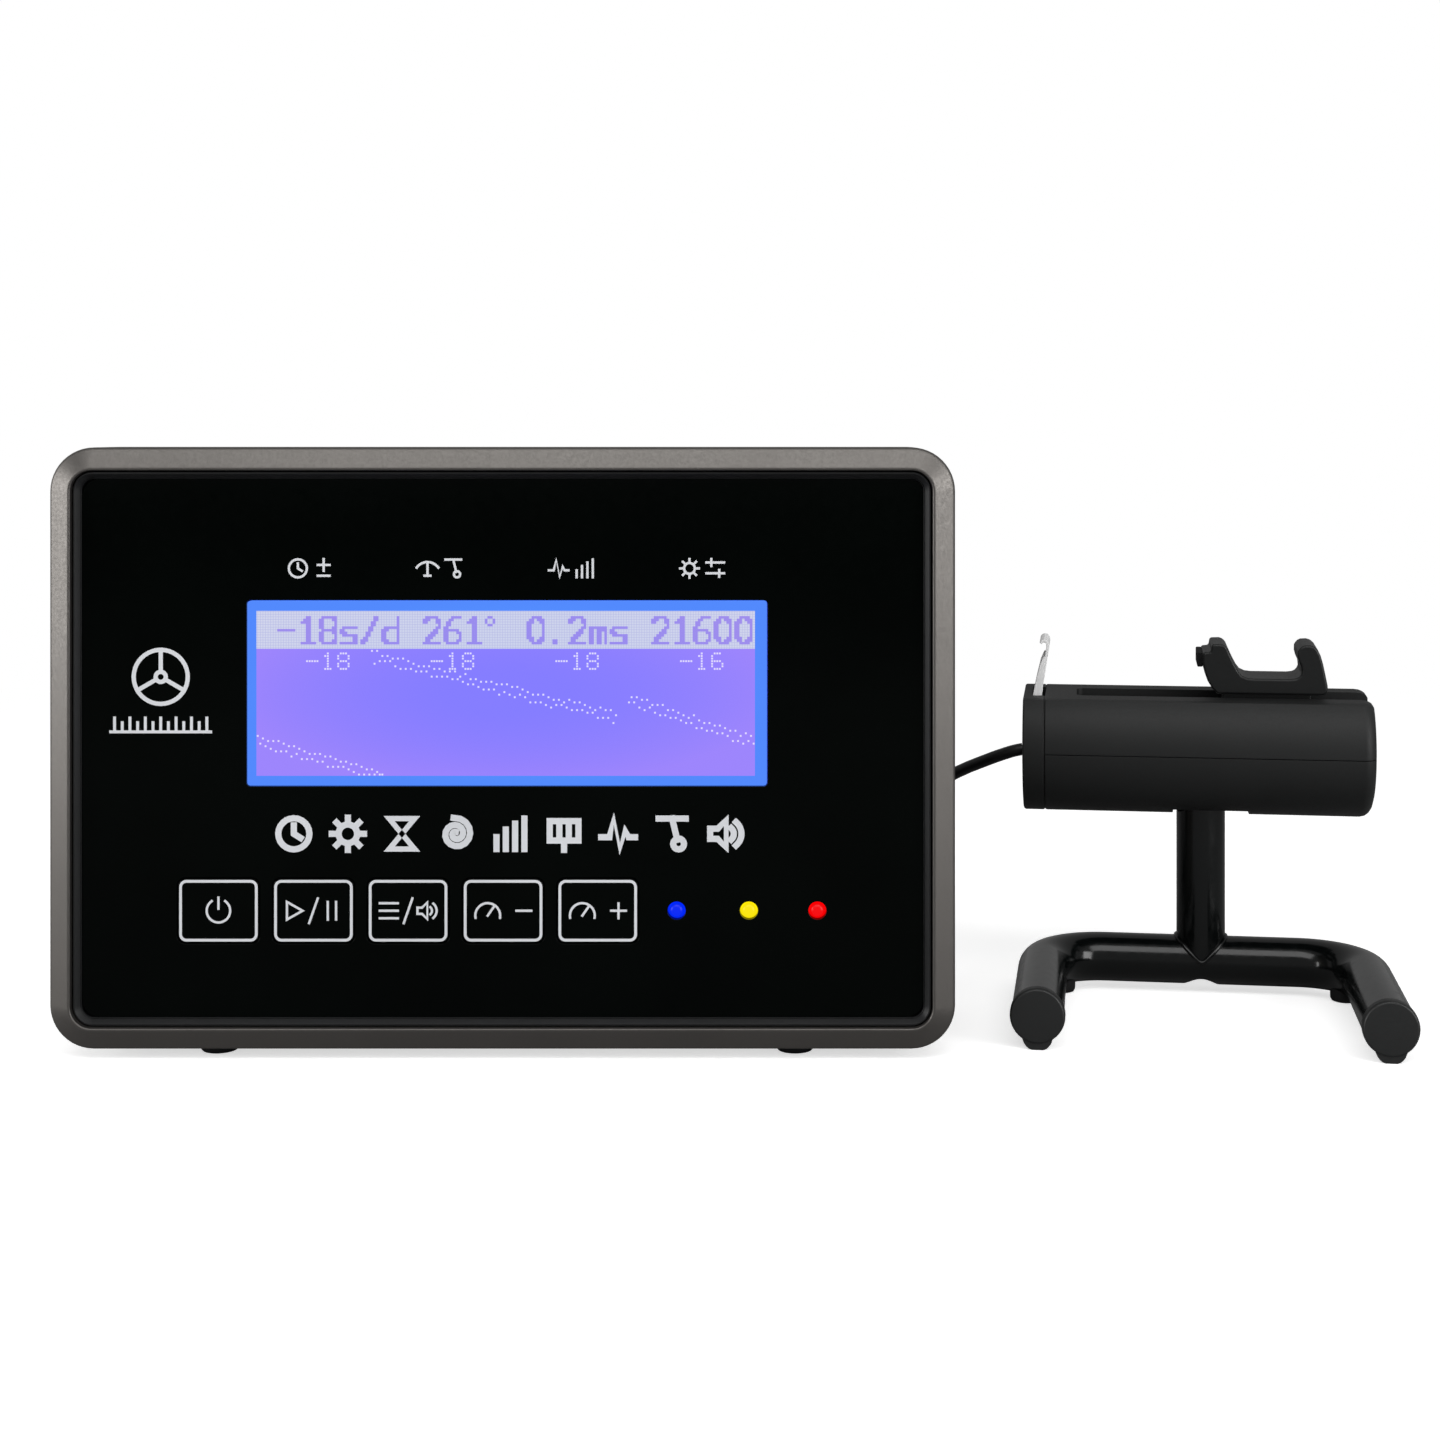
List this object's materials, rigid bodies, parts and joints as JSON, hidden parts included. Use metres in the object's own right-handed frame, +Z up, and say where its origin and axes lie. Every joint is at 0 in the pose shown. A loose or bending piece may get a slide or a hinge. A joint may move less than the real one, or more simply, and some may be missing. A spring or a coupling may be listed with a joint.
{
  "type": "timegrapher",
  "caption": "Desktop watch timing monitor with a lit graphic display, keys and lamps, cabled to a tilting test stand whose sliding clamp holds a watch on a contact plate.",
  "frame": {"origin": "middle of the footprint of the monitor and stand together, on the table", "axes": "+X to the user's right, +Y away from the user, +Z up; the monitor's face looks along -Y"},
  "size_m": [0.3624, 0.1207, 0.1593],
  "materials": {
    "frame_paint": "satin gunmetal paint with a fine grain",
    "panel_gloss": "deep glossy black with pale printed marks",
    "trim_black": "satin black",
    "clear_window": "clear over the lit display",
    "display_blue": "lit violet blue with pale dots",
    "circuit_board": "green solder mask",
    "lamp_blue": "lit blue lens",
    "lamp_yellow": "yellow lens",
    "lamp_red": "red lens",
    "screw_steel": "bright steel",
    "foot_rubber": "matt black",
    "tube_paint": "glossy black paint on steel",
    "cap_plastic": "satin dark gray",
    "shell_plastic": "fine satin texture, dark gray",
    "plate_steel": "bright bent sheet",
    "piezo_brass": "brass disc",
    "hub_steel": "turned steel",
    "grip_plastic": "satin mid gray",
    "cable_rubber": "smooth black jacket"
  },
  "bodies": {
    "base": {"front_frame": "frame_paint", "rear_case": "frame_paint", "front_panel": "panel_gloss", "panel_trim": "trim_black", "display_window": "clear_window", "display_glass": "display_blue", "display_board": "circuit_board", "key_board": "circuit_board", "main_board": "circuit_board", "buzzer": "trim_black", "led_blue": "lamp_blue", "led_yellow": "lamp_yellow", "led_red": "lamp_red", "case_screw_1": "screw_steel", "case_screw_2": "screw_steel", "case_screw_3": "screw_steel", "case_screw_4": "screw_steel", "foot_1": "foot_rubber", "foot_2": "foot_rubber", "foot_3": "foot_rubber", "foot_4": "foot_rubber", "microphone_jack": "screw_steel", "power_inlet": "trim_black", "base_tube": "tube_paint", "post_tube": "tube_paint", "post_screw": "screw_steel", "leg_cap_left": "cap_plastic", "leg_cap_right": "cap_plastic", "rear_pad_left": "foot_rubber", "rear_pad_right": "foot_rubber", "tilt_hub": "hub_steel", "hub_nut": "hub_steel", "microphone_cable": "cable_rubber", "microphone_cable_tail": "cable_rubber", "cable_coil": "cable_rubber", "cable_tie": "foot_rubber", "cable_plug": "trim_black"},
    "head": {"upper_shell": "shell_plastic", "lower_shell": "shell_plastic", "left_end_cap": "shell_plastic", "cable_grommet": "foot_rubber", "shell_screw_1": "screw_steel", "shell_screw_2": "screw_steel", "contact_plate": "plate_steel", "piezo_disc": "piezo_brass", "preamp_board": "circuit_board"},
    "clamp": {"slide_clamp": "grip_plastic", "slide_runner": "trim_black", "jaw_pad": "foot_rubber"},
    "key_power": {"key_power": "panel_gloss"},
    "key_start_pause": {"key_start_pause": "panel_gloss"},
    "key_menu_sound": {"key_menu_sound": "panel_gloss"},
    "key_value_minus": {"key_value_minus": "panel_gloss"},
    "key_value_plus": {"key_value_plus": "panel_gloss"}
  },
  "joints": [
    {"name": "head_tilt", "type": "hinge", "parent": "base", "child": "head", "pos_m": [0.13119, 0.02515, 0.0695], "axis": [0.9903, -0.1392, 0], "range_deg": [-90, 0]},
    {"name": "clamp_slide", "type": "slide", "parent": "head", "child": "clamp", "axis": [0.9903, -0.1392, 0], "range_m": [-0.038, 0.0115], "stiffness_N_per_m": 60, "springref_m": -0.06},
    {"name": "key_power_press", "type": "slide", "parent": "base", "child": "key_power", "axis": [0, 1, 0], "range_m": [0, 0.0004], "stiffness_N_per_m": 300, "springref_m": -0.001},
    {"name": "key_start_pause_press", "type": "slide", "parent": "base", "child": "key_start_pause", "axis": [0, 1, 0], "range_m": [0, 0.0004], "stiffness_N_per_m": 300, "springref_m": -0.001},
    {"name": "key_menu_sound_press", "type": "slide", "parent": "base", "child": "key_menu_sound", "axis": [0, 1, 0], "range_m": [0, 0.0004], "stiffness_N_per_m": 300, "springref_m": -0.001},
    {"name": "key_value_minus_press", "type": "slide", "parent": "base", "child": "key_value_minus", "axis": [0, 1, 0], "range_m": [0, 0.0004], "stiffness_N_per_m": 300, "springref_m": -0.001},
    {"name": "key_value_plus_press", "type": "slide", "parent": "base", "child": "key_value_plus", "axis": [0, 1, 0], "range_m": [0, 0.0004], "stiffness_N_per_m": 300, "springref_m": -0.001}
  ]
}
